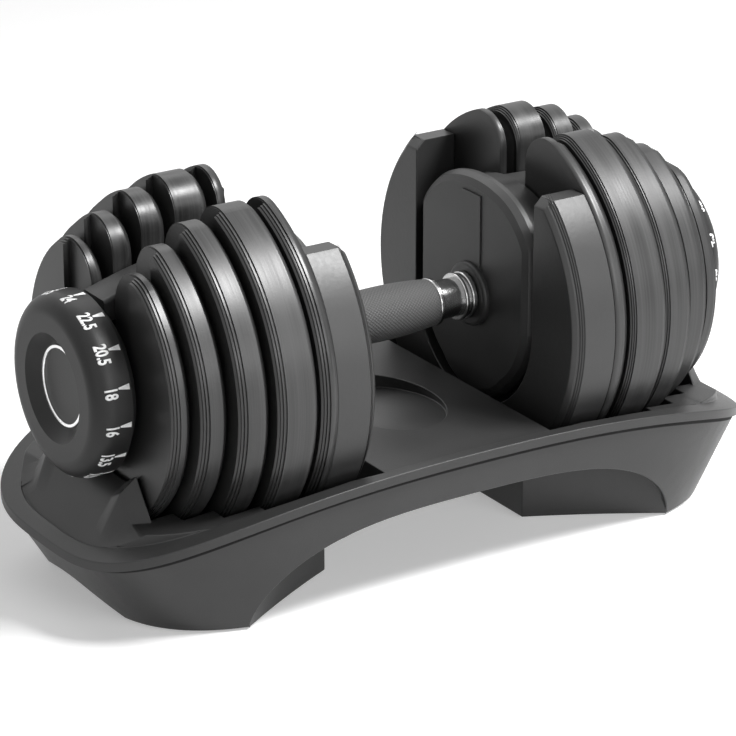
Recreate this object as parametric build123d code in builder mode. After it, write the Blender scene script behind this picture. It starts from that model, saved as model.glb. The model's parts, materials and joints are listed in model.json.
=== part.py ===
from build123d import *
import os
from math import cos, pi, radians, sin, sqrt

# Adjustable dumbbell docked in its tray: a handle with two selector dials, five loose weight plates
# at each end, and a moulded tray that holds the plates upright while the handle is out.
# The handle lies along X, +Z is up, and the origin is on the ground under the middle of the tray.
# Positions along the handle are distances from the middle, the same at both ends.

os.makedirs("parts", exist_ok=True)

# ---------------------------------------------------------------- sizes, in millimetres
SIDES = {"left": -1, "right": 1}

# Fits and clearances
RUN_FIT = 0.05          # radial gap of a shaft that turns in its bore
SEAT_GAP = 0.3          # gap under a piece that rests on another
CORE_FIT = 0.15         # gap round a steel core in its moulded cover
GUIDE_FIT = 0.3         # gap round a piece that slides in a slot

# Weight plates, from the innermost to the outermost
PLATE_RADIUS = [100, 100, 95, 86.5, 79]
PLATE_THICKNESS = [9, 24, 18, 15.5, 11]
PLATE_SPACING = [2.5, 2.5, 2, 2, 0]
PLATE_LOAD = [4.25, 3.0, 2.0, 1.0, 0.5]     # kg each plate adds at one end
SLOT_HALF_WIDTH = 12.5
HORN_ROUND = [18.5, 18.5, 18.5, 18.5, 22]   # rounding of the two horns beside the slot
HORN_CROWN = 125        # direction of a horn's crown from straight out, in degrees
RIM_STEPS = 3           # fine steps along each edge of a rim
RIM_STEP_RISE = 0.8
RIM_STEP_RUN = 1.0      # along the inner edge
RIM_OUTER_RUN = 1.6     # along the outer edge
RECESS_DEPTH = 4.2      # pocket for the selector disc in the outer face
COVER_WALL = 2.6
CORE_RIM = 7            # moulded rim outside the steel core
CORE_HORN_ROUND = [14, 14, 14, 14, 17.5]

# Belly: the thick weight block on the innermost plate, cut out round the hub
BELLY_FACE = 63
BELLY_LENGTH = 26
BELLY_BEVEL = 2.5
BELLY_EDGE = 5          # slope along the inner edge of its flat top
BELLY_TOP = 73          # its flat top above the handle axis
BELLY_CUT_HALF_WIDTH = 57.5
BELLY_CUT_CENTRE = -7

# Handle
HUB_FACE = 62
HUB_COVER_THICKNESS = 9
HUB_BEVELS = [(0, 5.5), (2.2, 2), (6, 0)]   # depth from the face, and how far the edge is set in
HUB_HALF_WIDTH = 54
HUB_TOP = 68.5
HUB_CROWN = (19, 66.3)      # end of the rounded top
HUB_BROW = (39, 57.5)       # middle of the brow between the top and the shoulder
HUB_SHOULDER = 40
HUB_SHOULDER_ROUND = 9
HUB_WAIST = -10             # where the sides start to narrow
HUB_CHEEK = (47, -31)
HUB_JAW = (33, -47)
HUB_CHIN = (18, -58)
HUB_BOTTOM = -62
HUB_SET_IN = 5          # the housing behind the cover is smaller all round
HUB_END = 88            # outer face of the hub housing
HUB_WALL = 3
HUB_BOSS_RADIUS = 18.5
HUB_BOSS_HEIGHT = 3.5
HUB_BAND_HALF_WIDTH = 9
HUB_BAND_HEIGHT = 0.8
HUB_BAND_MARGIN = 9     # from the top of the hub
SCREW_RECESS = 4        # how deep the screws of the cover start below its face
GRIP_HALF_LENGTH = 33
GRIP_END_RADIUS = 13.3
GRIP_MIDDLE_RADIUS = 15.3
TUBE_RADIUS = 11
TUBE_BORE = 7
RING_RADIUS = 13.6      # turned rings on the chromed tube
ROD_RADIUS = 6
NUT_RADIUS = 8
NUT_LENGTH = 4
BRIDGE_HALF_WIDTH = 11.5
BRIDGE_WALL = 3
BRIDGE_END_BLOCK = 10
BRIDGE_INNER_TOP = 62
BRIDGE_OUTER_TOP = 47
BRIDGE_CROWN = 3.5      # how far its top bulges above a straight line
BRIDGE_GAP = 2          # between the bridge and the selector discs
INDEX_THICKNESS = 4
INDEX_RADIUS = 43
INDEX_GAP = 1.5         # from the outermost plate
SCREW_RADIUS = 1.8
SCREW_HEAD_RADIUS = 3.4
SCREW_HEAD = 1.8
SCREW_LENGTH = 9
SCREW_FIT = 0.1
SCREW_POST_RADIUS = 4.1

# Dial, selector shaft and selector discs
SETTINGS = [24, 22.5, 20.5, 18, 16, 13.5, 11.5, 10, 9, 8, 6.5, 5.5, 4.5, 3.5, 2.5]
DIAL_RADIUS = 50
DIAL_GAP = 1.5          # between the dial and the index plate
DIAL_STRAIGHT = 10.5    # straight part of the numbered surface
DIAL_ROUND = 10.4
DIAL_WALL = 4
DIAL_WEB = 4
DIAL_DISH_RADIUS = 30
DIAL_RING_RADIUS = 22.5
DIAL_RING_WIDTH = 2.2
DIAL_RING_DEPTH = 6.4   # from the front face back to the bright ring
DIAL_HUB_RADIUS = 16
NOTCH_DEPTH = 2.5
NOTCH_WIDTH = 7
SHAFT_RADIUS = 10
SHAFT_FLATS = 17
SHAFT_START = 74
DISC_RADIUS = 34
DISC_RING_WIDTH = 3.5
DISC_RING_HEIGHT = 2
DISC_WEB = 1.6
DISC_HUB_RADIUS = 11.8
DISC_GAP = 1.5          # between a disc and the wall of its recess
TAB_GAP = 0.5           # between a plate's hook tab and the ring above it
TAB_HEIGHT = 7
TAB_HALF_WIDTH = 7

# Lock slider and springs
LOCK_TRAVEL = 3.5
LOCK_HALF_WIDTH = 7
LOCK_TONGUE_HALF_WIDTH = 3.5
LOCK_TOP = -24          # top of the slider below the handle axis
SPRING_RADIUS = 1.35
SPRING_WIRE = 0.25
SPRING_TURNS = 7
SPRING_LENGTH = 7.5
LEAF_THICKNESS = 0.8
LEAF_HALF_WIDTH = 4

# Tray
WALL = 3.5
TROUGH_GAP = 3          # round the plates
TRAY_CLEARANCE = 15     # under the troughs
TRAY_END_MARGIN = 8     # from the dial's face to the tray's end
TRAY_SIDE_MARGIN = 8    # from the largest plate to the tray's side
TRAY_END_TAPER = 0.616  # how much the walls lean in towards the ground
TRAY_SIDE_TAPER = 0.115
TRAY_SQUARENESS = 3.4
TRAY_WAIST = 0.06
SEAM_MIDDLE = 51        # the seam under the lip, below the axis
SEAM_DROP = 34          # and how much lower it is at the ends
LIP_HEIGHT = 5.5
LIP_OVERHANG = 2.5
LIP_WIDTH = 9.5
LIP_LEAN = 0.5
DECK_DEPTH = 50         # middle deck below the axis
DECK_HALF_LENGTH = 54
FLOOR_LEVEL_HALF_LENGTH = 76
FLOOR_SLOPE = 0.117     # outside the level part
FLOOR_BREAK = 186       # where the floor falls away to the end lip
FLOOR_END_SLOPE = 0.9
UNDERSIDE_SLOPE = 0.217
SCOOP_HALF_LENGTH = 30
SCOOP_HALF_WIDTH = 44
SCOOP_CENTRE_Y = -6
SCOOP_DEPTH = 8
SCOOP_LIP = 1
SEAT_HALF_WIDTH = 14
TROUGH_RAMP = 1.2       # how far the trough's foot stands in from the belly
ARCH_HALF_LENGTH = 137
ARCH_HEIGHT = 50.5
ARCH_FLATNESS = 3.4     # how level the arch is in the middle
ARCH_STEEPNESS = 0.58   # and how steep beside the feet
END_ARCH_HALF_WIDTH = 45
END_ARCH_HEIGHT = 12
FOOT_FACE = 67
FOOT_HALF_WIDTH = 47
FOOT_FLARE_MIDDLE = (102, 65)
FOOT_FLARE_OUT = 4      # beyond the arch
FOOT_FLARE_SHARE = 0.885    # of the tray's half width
FOOT_PAD = 1.2
FOOT_PAD_RADIUS = 8
TOP_BOSS_LENGTH = 8
BOSS_RADIUS = 6
BOSS_X = 158
BOSS_Y = 62

# ---------------------------------------------------------------- places worked out from the sizes
AXIS = PLATE_RADIUS[0] + TROUGH_GAP + WALL + TRAY_CLEARANCE
PLATE_COUNT = len(PLATE_RADIUS)
PLATE_INNER = []
PLATE_OUTER = []
next_face = BELLY_FACE + BELLY_LENGTH
for thickness, spacing in zip(PLATE_THICKNESS, PLATE_SPACING):
    PLATE_INNER.append(next_face)
    PLATE_OUTER.append(next_face + thickness)
    next_face += thickness + spacing

INDEX_FACE = PLATE_OUTER[-1] + INDEX_GAP
INDEX_END = INDEX_FACE + INDEX_THICKNESS
DIAL_BACK = INDEX_END + DIAL_GAP
DIAL_FACE = DIAL_BACK + DIAL_STRAIGHT + DIAL_ROUND
DIAL_RING_FACE = DIAL_FACE - DIAL_RING_DEPTH
DIAL_SEAT = DIAL_RING_FACE - 3          # pocket floor that the ring and the cap sit on
DIAL_CAVITY_END = DIAL_SEAT - DIAL_WEB
SHAFT_END = DIAL_SEAT - NUT_LENGTH - 1
ROD_END = SHAFT_END + SEAT_GAP + NUT_LENGTH
STEP_ANGLE = 360 / len(SETTINGS)
NOTCH_CREST = DIAL_RADIUS - DIAL_WALL - NOTCH_DEPTH
RECESS_HALF_WIDTH = DISC_RADIUS + DISC_GAP
BRIDGE_BOTTOM = DISC_RADIUS + BRIDGE_GAP

SPRING_START = AXIS + LOCK_TOP + SEAT_GAP + SPRING_WIRE

TRAY_LENGTH = DIAL_FACE + TRAY_END_MARGIN
TRAY_WIDTH = PLATE_RADIUS[0] + TRAY_SIDE_MARGIN
SEAM_END = SEAM_MIDDLE + SEAM_DROP
DECK = AXIS - DECK_DEPTH


def end_plane(side, x):
    """A plane across the handle at distance x, facing outwards, with its origin on the axis."""
    return Plane(origin=(side * x, 0, AXIS), x_dir=(0, side, 0), z_dir=(side, 0, 0))


def picked_plates(setting):
    """The plates that a setting picks up, as indexes, the heaviest that fit first."""
    load = (setting - SETTINGS[-1]) / 2
    chosen = []
    for index, weight in enumerate(PLATE_LOAD):
        if weight <= load:
            chosen.append(index)
            load -= weight
    return chosen


# ---------------------------------------------------------------- handle, from the middle outwards
with BuildPart() as grip:
    with BuildSketch(Plane.XZ) as grip_section:
        with BuildLine():
            ThreePointArc(
                (-GRIP_HALF_LENGTH, GRIP_END_RADIUS),
                (0, GRIP_MIDDLE_RADIUS),
                (GRIP_HALF_LENGTH, GRIP_END_RADIUS),
            )
            Polyline(
                (GRIP_HALF_LENGTH, GRIP_END_RADIUS),
                (GRIP_HALF_LENGTH, TUBE_RADIUS + RUN_FIT),
                (-GRIP_HALF_LENGTH, TUBE_RADIUS + RUN_FIT),
                (-GRIP_HALF_LENGTH, GRIP_END_RADIUS),
            )
        make_face()
    revolve(axis=Axis.X)
grip.part = grip.part.moved(Location((0, 0, AXIS)))
grip.part.label = "grip"
export_step(grip.part, "parts/grip.step")

# Chromed tube with a wide ring against the grip and two narrow ones beside the boss
BOSS_FACE = HUB_FACE - HUB_BOSS_HEIGHT
RING_SPANS = [
    (GRIP_HALF_LENGTH + 0.2, GRIP_HALF_LENGTH + 3.4),
    (BOSS_FACE - 8.5, BOSS_FACE - 6),
    (BOSS_FACE - 4, BOSS_FACE - 0.5),
]
with BuildPart() as handle_tube:
    with BuildSketch(end_plane(1, -HUB_FACE - HUB_COVER_THICKNESS)):
        Circle(TUBE_RADIUS)
    extrude(amount=2 * (HUB_FACE + HUB_COVER_THICKNESS))
    for side in SIDES.values():
        for ring_start, ring_end in RING_SPANS:
            with BuildSketch(end_plane(side, ring_start)):
                Circle(RING_RADIUS)
            extrude(amount=ring_end - ring_start)
    ring_edges = handle_tube.edges().filter_by(GeomType.CIRCLE)
    fillet([e for e in ring_edges if e.radius > RING_RADIUS - 0.1], radius=0.9)
    with BuildSketch(end_plane(1, -HUB_FACE - HUB_COVER_THICKNESS)):
        Circle(TUBE_BORE)
    extrude(amount=2 * (HUB_FACE + HUB_COVER_THICKNESS), mode=Mode.SUBTRACT)
handle_tube.part.label = "handle_tube"
export_step(handle_tube.part, "parts/handle_tube.step")

with BuildPart() as tie_rod:
    with BuildSketch(end_plane(1, -ROD_END)):
        Circle(ROD_RADIUS)
    extrude(amount=2 * ROD_END)
    chamfer(tie_rod.edges().filter_by(GeomType.CIRCLE), length=0.8)
tie_rod.part.label = "tie_rod"
export_step(tie_rod.part, "parts/tie_rod.step")

with BuildPart() as rod_nuts:
    for side in SIDES.values():
        with BuildSketch(end_plane(side, ROD_END - NUT_LENGTH)):
            RegularPolygon(radius=NUT_RADIUS, side_count=6)
            Circle(ROD_RADIUS + RUN_FIT, mode=Mode.SUBTRACT)
        extrude(amount=NUT_LENGTH - 0.5)
rod_nuts.part.label = "rod_nuts"
export_step(rod_nuts.part, "parts/rod_nuts.step")


def hub_outline(inset=0.0):
    """The hub's outline in a plane across the handle: broad shoulders that narrow downwards."""
    with BuildSketch() as outline:
        with BuildLine():
            for s in (1, -1):
                crown = (HUB_CROWN[0] * s, HUB_CROWN[1])
                shoulder = (HUB_HALF_WIDTH * s, HUB_SHOULDER)
                waist = (HUB_HALF_WIDTH * s, HUB_WAIST)
                jaw = (HUB_JAW[0] * s, HUB_JAW[1])
                ThreePointArc((0, HUB_TOP), (crown[0] / 2, HUB_TOP - 0.5), crown)
                ThreePointArc(crown, (HUB_BROW[0] * s, HUB_BROW[1]), shoulder)
                Line(shoulder, waist)
                ThreePointArc(waist, (HUB_CHEEK[0] * s, HUB_CHEEK[1]), jaw)
                ThreePointArc(jaw, (HUB_CHIN[0] * s, HUB_CHIN[1]), (0, HUB_BOTTOM))
        make_face()
        shoulders = outline.vertices().filter_by_position(
            Axis.Y, HUB_SHOULDER - 0.1, HUB_SHOULDER + 0.1
        )
        fillet(shoulders, radius=HUB_SHOULDER_ROUND)
        if inset:
            offset(amount=-inset, kind=Kind.INTERSECTION)
    return outline.sketch


HUB_OUTLINES = [hub_outline(inset) for depth, inset in HUB_BEVELS]
HOUSING_OUTLINE = hub_outline(HUB_SET_IN)
HOUSING_INSIDE = hub_outline(HUB_SET_IN + HUB_WALL)
HUB_SCREWS = [(-34, 18), (34, 18), (0, -42)]
BRIDGE_SCREWS = [(-6.5, BRIDGE_BOTTOM + 7), (6.5, BRIDGE_BOTTOM + 7)]
INDEX_SCREWS = [(-7, BRIDGE_BOTTOM + 3.6), (7, BRIDGE_BOTTOM + 3.6)]
COVER_BACK = HUB_FACE + HUB_COVER_THICKNESS
SCREW_START = HUB_FACE + SCREW_RECESS


def keyed_section(clearance=0.0):
    """The selector shaft's section: a circle with two flats."""
    with BuildSketch() as section:
        Circle(SHAFT_RADIUS + clearance)
        Rectangle(3 * SHAFT_RADIUS, SHAFT_FLATS + 2 * clearance, mode=Mode.INTERSECT)
    return section.sketch


def sector(angle, radius):
    """A sector one click wide, pointing at angle from straight up, turning towards local +X."""
    half = radians(STEP_ANGLE / 2)
    middle = radians(angle)
    reach = radius / cos(half)
    corners = [
        (0, 0),
        (reach * sin(middle - half), reach * cos(middle - half)),
        (reach * sin(middle + half), reach * cos(middle + half)),
    ]
    with BuildSketch() as wedge:
        Polygon(*corners, align=None)
    return wedge.sketch


KEYED_SECTION = keyed_section()
KEYED_BORE = keyed_section(RUN_FIT)

for side_name, side in SIDES.items():
    # Inner cover: the rounded face beside the hand, with a boss and a raised band above it
    with BuildPart() as hub_cover:
        for level in range(len(HUB_BEVELS) - 1):
            for depth_index in (level, level + 1):
                with BuildSketch(end_plane(side, HUB_FACE + HUB_BEVELS[depth_index][0])):
                    add(HUB_OUTLINES[depth_index])
            loft(ruled=True)
        with BuildSketch(end_plane(side, HUB_FACE + HUB_BEVELS[-1][0])):
            add(HUB_OUTLINES[-1])
        extrude(amount=HUB_COVER_THICKNESS - HUB_BEVELS[-1][0])
        with BuildSketch(end_plane(side, BOSS_FACE)):
            Circle(HUB_BOSS_RADIUS)
        extrude(amount=HUB_BOSS_HEIGHT)
        with BuildSketch(end_plane(side, HUB_FACE - HUB_BAND_HEIGHT)):
            with Locations((0, HUB_TOP / 2)):
                Rectangle(2 * HUB_BAND_HALF_WIDTH, HUB_TOP - 2 * HUB_BAND_MARGIN)
        extrude(amount=HUB_BAND_HEIGHT)
        boss_edges = hub_cover.edges().filter_by(GeomType.CIRCLE).filter_by(
            lambda e: abs(e.radius - HUB_BOSS_RADIUS) < 0.01
            and abs(abs(e.center().X) - BOSS_FACE) < 0.01
        )
        fillet(boss_edges, radius=2)
        with BuildSketch(end_plane(side, BOSS_FACE)):
            Circle(TUBE_RADIUS + RUN_FIT)
        extrude(amount=HUB_BOSS_HEIGHT + HUB_COVER_THICKNESS, mode=Mode.SUBTRACT)
        with BuildSketch(end_plane(side, SCREW_START)):
            with Locations(*HUB_SCREWS):
                Circle(SCREW_RADIUS + SCREW_FIT)
        extrude(amount=HUB_COVER_THICKNESS, mode=Mode.SUBTRACT)
    hub_cover.part.label = f"{side_name}_hub_cover"
    export_step(hub_cover.part, f"parts/{hub_cover.part.label}.step")

    # Housing: an open box behind the cover, with the shaft's bearing in its end wall
    with BuildPart() as housing:
        with BuildSketch(end_plane(side, COVER_BACK)):
            add(HOUSING_OUTLINE)
        extrude(amount=HUB_END - COVER_BACK)
        with BuildSketch(end_plane(side, COVER_BACK)):
            add(HOUSING_INSIDE)
        extrude(amount=HUB_END - HUB_WALL - COVER_BACK, mode=Mode.SUBTRACT)
        with BuildSketch(end_plane(side, COVER_BACK)):
            with Locations(*HUB_SCREWS):
                Circle(SCREW_POST_RADIUS)
        extrude(amount=HUB_END - COVER_BACK)
        with BuildSketch(end_plane(side, SHAFT_START + 2)):
            Circle(SHAFT_RADIUS + HUB_WALL)
        extrude(amount=HUB_END - SHAFT_START - 2)
        with BuildSketch(end_plane(side, HUB_FACE)):
            Circle(SHAFT_RADIUS + RUN_FIT)
        extrude(amount=HUB_END - HUB_FACE, mode=Mode.SUBTRACT)
        with BuildSketch(end_plane(side, COVER_BACK)):
            with Locations(*HUB_SCREWS):
                Circle(SCREW_RADIUS + SCREW_FIT)
        extrude(amount=SCREW_LENGTH, mode=Mode.SUBTRACT)
        with BuildSketch(end_plane(side, HUB_END - HUB_WALL)):
            with Locations(*BRIDGE_SCREWS):
                Circle(SCREW_RADIUS + SCREW_FIT)
        extrude(amount=HUB_WALL, mode=Mode.SUBTRACT)
    housing.part.label = f"{side_name}_hub_housing"
    export_step(housing.part, f"parts/{housing.part.label}.step")

    # Bridge: a channel along the slots of the plates, with a solid block at each end
    bridge_start = HUB_END
    bridge_end = INDEX_FACE
    bridge_middle = (bridge_start + bridge_end) / 2
    bridge_crest = (BRIDGE_INNER_TOP + BRIDGE_OUTER_TOP) / 2 + BRIDGE_CROWN
    with BuildPart() as bridge:
        with BuildSketch(Plane.XZ.offset(-BRIDGE_HALF_WIDTH)):
            with BuildLine():
                ThreePointArc(
                    (side * bridge_start, AXIS + BRIDGE_INNER_TOP),
                    (side * bridge_middle, AXIS + bridge_crest),
                    (side * bridge_end, AXIS + BRIDGE_OUTER_TOP),
                )
                Polyline(
                    (side * bridge_end, AXIS + BRIDGE_OUTER_TOP),
                    (side * bridge_end, AXIS + BRIDGE_BOTTOM),
                    (side * bridge_start, AXIS + BRIDGE_BOTTOM),
                    (side * bridge_start, AXIS + BRIDGE_INNER_TOP),
                )
            make_face()
        extrude(amount=2 * BRIDGE_HALF_WIDTH)
        fillet(bridge.faces().sort_by(Axis.Z)[-1].edges().filter_by(
            lambda e: e.length > (bridge_end - bridge_start) * 0.9
        ), radius=2)
        with BuildSketch(Plane.XZ.offset(-BRIDGE_HALF_WIDTH + BRIDGE_WALL)):
            with BuildLine():
                inner_start = bridge_start + BRIDGE_END_BLOCK
                inner_end = bridge_end - BRIDGE_END_BLOCK
                Polyline(
                    (side * inner_start, AXIS + BRIDGE_BOTTOM),
                    (side * inner_start, AXIS + BRIDGE_INNER_TOP - BRIDGE_WALL),
                    (side * bridge_middle, AXIS + bridge_crest - BRIDGE_WALL),
                    (side * inner_end, AXIS + BRIDGE_OUTER_TOP - BRIDGE_WALL / 2),
                    (side * inner_end, AXIS + BRIDGE_BOTTOM),
                    close=True,
                )
            make_face()
        extrude(amount=2 * (BRIDGE_HALF_WIDTH - BRIDGE_WALL), mode=Mode.SUBTRACT)
        with BuildSketch(end_plane(side, bridge_start)):
            with Locations(*BRIDGE_SCREWS):
                Circle(SCREW_RADIUS + SCREW_FIT)
        extrude(amount=SCREW_LENGTH - HUB_WALL, mode=Mode.SUBTRACT)
        with BuildSketch(end_plane(side, bridge_end)):
            with Locations(*INDEX_SCREWS):
                Circle(SCREW_RADIUS + SCREW_FIT)
        extrude(amount=-(SCREW_LENGTH - INDEX_THICKNESS + SCREW_HEAD), mode=Mode.SUBTRACT)
    bridge.part.label = f"{side_name}_bridge"
    export_step(bridge.part, f"parts/{bridge.part.label}.step")

    # Index plate: closes the end of the bridge, guides the lock slider and carries both springs
    with BuildPart() as index_plate:
        with BuildSketch(end_plane(side, INDEX_FACE)):
            Circle(INDEX_RADIUS)
            with Locations((0, LOCK_TOP - INDEX_RADIUS)):
                Rectangle(2 * (LOCK_HALF_WIDTH + GUIDE_FIT), 2 * INDEX_RADIUS, mode=Mode.SUBTRACT)
            with Locations((0, LOCK_TOP + 5)):
                Rectangle(2 * (SPRING_RADIUS + SPRING_WIRE + 0.3), 11.5, mode=Mode.SUBTRACT)
            Circle(SHAFT_RADIUS + RUN_FIT, mode=Mode.SUBTRACT)
            with Locations(*INDEX_SCREWS):
                Circle(SCREW_RADIUS + SCREW_FIT, mode=Mode.SUBTRACT)
        extrude(amount=INDEX_THICKNESS)
        with BuildSketch(end_plane(side, INDEX_END - SCREW_HEAD)):
            with Locations(*INDEX_SCREWS):
                Circle(SCREW_HEAD_RADIUS + SCREW_FIT)
        extrude(amount=SCREW_HEAD, mode=Mode.SUBTRACT)
    index_plate.part.label = f"{side_name}_index_plate"
    export_step(index_plate.part, f"parts/{index_plate.part.label}.step")

    # Lock slider: a flat foot in the index plate's slot and a tongue inside the dial
    tongue_tip = LOCK_TRAVEL + sqrt((NOTCH_CREST - 0.35) ** 2 - LOCK_TONGUE_HALF_WIDTH ** 2)
    with BuildPart() as lock_slider:
        with BuildSketch(end_plane(side, INDEX_FACE + GUIDE_FIT)):
            with Locations((0, LOCK_TOP)):
                Rectangle(
                    2 * LOCK_HALF_WIDTH,
                    INDEX_RADIUS + LOCK_TRAVEL + LOCK_TOP + 1,
                    align=(Align.CENTER, Align.MAX),
                )
        extrude(amount=INDEX_THICKNESS - GUIDE_FIT)
        with BuildSketch(end_plane(side, INDEX_END)):
            with Locations((0, LOCK_TRAVEL - tongue_tip + LOCK_TRAVEL)):
                Rectangle(2 * LOCK_TONGUE_HALF_WIDTH, 8, align=(Align.CENTER, Align.MIN))
        extrude(amount=DIAL_GAP + 5)
    lock_slider.part.label = f"{side_name}_lock_slider"
    export_step(lock_slider.part, f"parts/{lock_slider.part.label}.step")

    # Selector shaft, turning on the tie rod
    with BuildPart() as shaft:
        with BuildSketch(end_plane(side, SHAFT_START)):
            add(KEYED_SECTION)
            Circle(ROD_RADIUS + RUN_FIT, mode=Mode.SUBTRACT)
        extrude(amount=SHAFT_END - SHAFT_START)
    shaft.part.label = f"{side_name}_selector_shaft"
    export_step(shaft.part, f"parts/{shaft.part.label}.step")

    # Dial drum: rounded outside, hollow behind, with a notched rim inside and a dished face
    round_start = DIAL_FACE - DIAL_ROUND
    round_middle = DIAL_ROUND * (1 - sqrt(0.5))
    with BuildPart() as dial:
        with BuildSketch(Plane.XZ):
            with BuildLine():
                Polyline(
                    (side * SHAFT_END, AXIS),
                    (side * DIAL_CAVITY_END, AXIS),
                    (side * DIAL_CAVITY_END, AXIS + DIAL_RADIUS - DIAL_WALL),
                    (side * DIAL_BACK, AXIS + DIAL_RADIUS - DIAL_WALL),
                    (side * DIAL_BACK, AXIS + DIAL_RADIUS),
                    (side * round_start, AXIS + DIAL_RADIUS),
                )
                ThreePointArc(
                    (side * round_start, AXIS + DIAL_RADIUS),
                    (side * (DIAL_FACE - round_middle), AXIS + DIAL_RADIUS - round_middle),
                    (side * DIAL_FACE, AXIS + DIAL_RADIUS - DIAL_ROUND),
                )
                Polyline(
                    (side * DIAL_FACE, AXIS + DIAL_RADIUS - DIAL_ROUND),
                    (side * DIAL_FACE, AXIS + DIAL_DISH_RADIUS),
                    (side * DIAL_RING_FACE, AXIS + DIAL_RING_RADIUS + 0.2),
                    (side * DIAL_SEAT, AXIS + DIAL_RING_RADIUS + 0.2),
                    (side * DIAL_SEAT, AXIS),
                    (side * SHAFT_END, AXIS),
                )
            make_face()
        revolve(axis=Axis(origin=(0, 0, AXIS), direction=(1, 0, 0)))
        with BuildSketch(end_plane(side, DIAL_CAVITY_END - 3)):
            Circle(DIAL_HUB_RADIUS)
        extrude(amount=3)
        with BuildSketch(end_plane(side, DIAL_CAVITY_END - 3)):
            add(KEYED_BORE)
        extrude(amount=SHAFT_END - DIAL_CAVITY_END + 3, mode=Mode.SUBTRACT)
        with BuildSketch(end_plane(side, DIAL_CAVITY_END - 3)):
            Circle(NUT_RADIUS + 1)
        extrude(amount=DIAL_SEAT - DIAL_CAVITY_END + 3, mode=Mode.SUBTRACT)
        with BuildSketch(end_plane(side, DIAL_BACK)):
            Circle(DIAL_RADIUS - DIAL_WALL)
            Circle(NOTCH_CREST, mode=Mode.SUBTRACT)
            with PolarLocations(NOTCH_CREST, len(SETTINGS), start_angle=90):
                Rectangle(2 * NOTCH_DEPTH, NOTCH_WIDTH, mode=Mode.SUBTRACT)
        extrude(amount=5)
    dial.part.label = f"{side_name}_dial"
    export_step(dial.part, f"parts/{dial.part.label}.step")

    with BuildPart() as dial_ring:
        with BuildSketch(end_plane(side, DIAL_SEAT)):
            Circle(DIAL_RING_RADIUS)
            Circle(DIAL_RING_RADIUS - DIAL_RING_WIDTH, mode=Mode.SUBTRACT)
        extrude(amount=DIAL_RING_FACE - DIAL_SEAT + 0.6)
        fillet(dial_ring.faces().sort_by(Axis.X)[-1 if side > 0 else 0].edges(), radius=0.6)
    dial_ring.part.label = f"{side_name}_dial_ring"
    export_step(dial_ring.part, f"parts/{dial_ring.part.label}.step")

    with BuildPart() as dial_cap:
        with BuildSketch(end_plane(side, DIAL_SEAT)):
            Circle(DIAL_RING_RADIUS - DIAL_RING_WIDTH - RUN_FIT)
        extrude(amount=DIAL_RING_FACE - DIAL_SEAT - 0.6)
    dial_cap.part.label = f"{side_name}_dial_cap"
    export_step(dial_cap.part, f"parts/{dial_cap.part.label}.step")

    # Selector discs: a web, a hub that spaces it from the next disc, and a ring that is left only
    # where a setting picks its plate up. The ring stands inwards and passes under the hook tab.
    hub_start = HUB_END + SEAT_GAP
    for index in range(PLATE_COUNT):
        web_end = PLATE_OUTER[index] - SEAT_GAP
        with BuildPart() as disc:
            with BuildSketch(end_plane(side, web_end - DISC_WEB - DISC_RING_HEIGHT)):
                Circle(DISC_RADIUS)
                Circle(DISC_RADIUS - DISC_RING_WIDTH, mode=Mode.SUBTRACT)
                for number, setting in enumerate(SETTINGS):
                    if index not in picked_plates(setting):
                        add(sector(number * STEP_ANGLE + 180, 1.2 * DISC_RADIUS), mode=Mode.SUBTRACT)
            extrude(amount=DISC_RING_HEIGHT)
            with BuildSketch(end_plane(side, web_end - DISC_WEB)):
                Circle(DISC_RADIUS)
            extrude(amount=DISC_WEB)
            with BuildSketch(end_plane(side, hub_start)):
                Circle(DISC_HUB_RADIUS)
            extrude(amount=web_end - hub_start)
            with BuildSketch(end_plane(side, hub_start)):
                add(KEYED_BORE)
            extrude(amount=web_end - hub_start, mode=Mode.SUBTRACT)
        disc.part.label = f"{side_name}_selector_disc_{index + 1}"
        export_step(disc.part, f"parts/{disc.part.label}.step")
        hub_start = web_end + RUN_FIT


# ---------------------------------------------------------------- springs and screws of the handle
with BuildPart() as click_springs:
    for side in SIDES.values():
        with BuildSketch(Plane.XZ.offset(-LEAF_HALF_WIDTH)):
            leaf_face = side * INDEX_END
            leaf_back = side * (INDEX_END + LEAF_THICKNESS)
            nose_end = side * (DIAL_BACK + 4)
            Polygon(
                (leaf_face, AXIS + SHAFT_RADIUS + 8),
                (leaf_back, AXIS + SHAFT_RADIUS + 8),
                (leaf_back, AXIS + NOTCH_CREST - 4),
                (nose_end, AXIS + NOTCH_CREST - 3.2),
                (nose_end, AXIS + NOTCH_CREST - 0.9),
                (leaf_face, AXIS + NOTCH_CREST - 2),
                align=None,
            )
        extrude(amount=2 * LEAF_HALF_WIDTH)
click_springs.part.label = "click_springs"
export_step(click_springs.part, "parts/click_springs.step")

with BuildPart() as lock_springs:
    for side in SIDES.values():
        spring_x = side * (INDEX_FACE + INDEX_THICKNESS / 2)
        with BuildLine() as coil:
            Helix(
                pitch=SPRING_LENGTH / SPRING_TURNS,
                height=SPRING_LENGTH,
                radius=SPRING_RADIUS,
                center=(spring_x, 0, SPRING_START),
            )
        with BuildSketch(Plane(origin=coil.line @ 0, z_dir=coil.line % 0)):
            Circle(SPRING_WIRE)
        sweep(path=coil.line)
lock_springs.part.label = "lock_springs"
export_step(lock_springs.part, "parts/lock_springs.step")

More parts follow.
